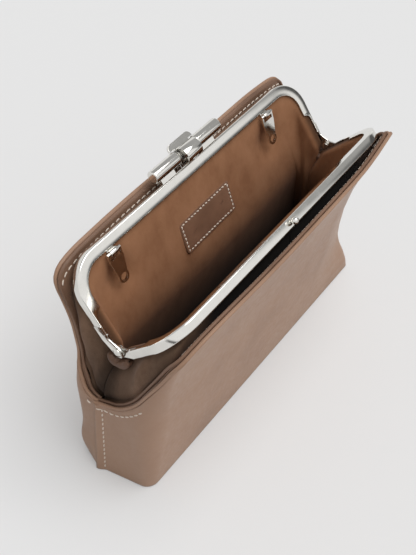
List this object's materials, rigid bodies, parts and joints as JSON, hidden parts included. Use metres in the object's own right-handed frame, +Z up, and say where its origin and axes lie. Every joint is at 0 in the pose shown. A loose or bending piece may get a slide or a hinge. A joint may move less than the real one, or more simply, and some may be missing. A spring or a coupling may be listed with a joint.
{
  "type": "frame purse with bar clasp",
  "caption": "Boxy leather frame purse standing open, with a hinged metal channel frame, rocking bar clasp over a ball stud, hanging chain loops and a soft folded lining.",
  "frame": {"origin": "middle of the base on the table, below the hinge line", "axes": "+X along the mouth to the right seen from the front, +Y towards the back frame with the clasp, +Z up"},
  "size_m": [0.234, 0.0889, 0.158],
  "materials": {
    "polished_metal": "polished",
    "spring_steel": "plain",
    "packing_cord": "twisted paper cord",
    "outer_leather": "smooth, fine grain",
    "facing_leather": "smooth, sewn edge",
    "trim_leather": "smooth, sewn edge",
    "gusset_suede": "suede",
    "lining_cloth": "brushed microfibre",
    "stiffener_board": "plain board"
  },
  "bodies": {
    "bag_body": {"front_panel": "outer_leather", "back_panel": "outer_leather", "base_panel": "outer_leather", "base_board": "stiffener_board", "left_gusset": "gusset_suede", "right_gusset": "gusset_suede", "front_lining": "lining_cloth", "back_lining": "lining_cloth", "label_patch": "trim_leather", "left_hinge_cuff": "trim_leather", "right_hinge_cuff": "trim_leather"},
    "front_frame": {"front_frame_channel": "polished_metal", "front_channel_cord": "packing_cord", "catch_stud": "polished_metal", "front_flap": "outer_leather", "front_facing": "facing_leather"},
    "back_frame": {"back_frame_channel": "polished_metal", "back_channel_cord": "packing_cord", "left_hinge_rivet": "polished_metal", "right_hinge_rivet": "polished_metal", "left_lock_barrel": "polished_metal", "right_lock_barrel": "polished_metal", "lock_shaft": "polished_metal", "lock_spring": "spring_steel", "left_loop_bracket": "polished_metal", "right_loop_bracket": "polished_metal", "back_flap": "outer_leather", "back_facing": "facing_leather"},
    "lock_rocker": {"lock_rocker": "polished_metal"},
    "left_loop": {"left_chain_loop": "polished_metal"},
    "right_loop": {"right_chain_loop": "polished_metal"}
  },
  "joints": [
    {"name": "front_frame_hinge", "type": "hinge", "parent": "bag_body", "child": "front_frame", "pos_m": [0, 0, 0.1054], "axis": [-1, 0, 0], "range_deg": [0, 41], "deforming": ["front_lining", "left_gusset", "right_gusset"]},
    {"name": "back_frame_hinge", "type": "hinge", "parent": "bag_body", "child": "back_frame", "pos_m": [0, 0, 0.1054], "axis": [1, 0, 0], "range_deg": [0, 36], "deforming": ["back_lining"]},
    {"name": "lock_press", "type": "hinge", "parent": "back_frame", "child": "lock_rocker", "pos_m": [0, 0.03403, 0.15224], "axis": [-1, 0, 0], "range_deg": [0, 18], "stiffness_Nm_per_rad": 0.02, "deforming": ["lock_spring"]},
    {"name": "left_loop_swing", "type": "hinge", "parent": "back_frame", "child": "left_loop", "pos_m": [-0.071, 0.02475, 0.13946], "axis": [-1, 0, 0], "range_deg": [-16, 196]},
    {"name": "right_loop_swing", "type": "hinge", "parent": "back_frame", "child": "right_loop", "pos_m": [0.065, 0.02475, 0.13946], "axis": [-1, 0, 0], "range_deg": [-16, 196]}
  ],
  "couplings": [
    {"joint": "back_frame_hinge", "follows": "front_frame_hinge", "ratio": 0.87805}
  ]
}
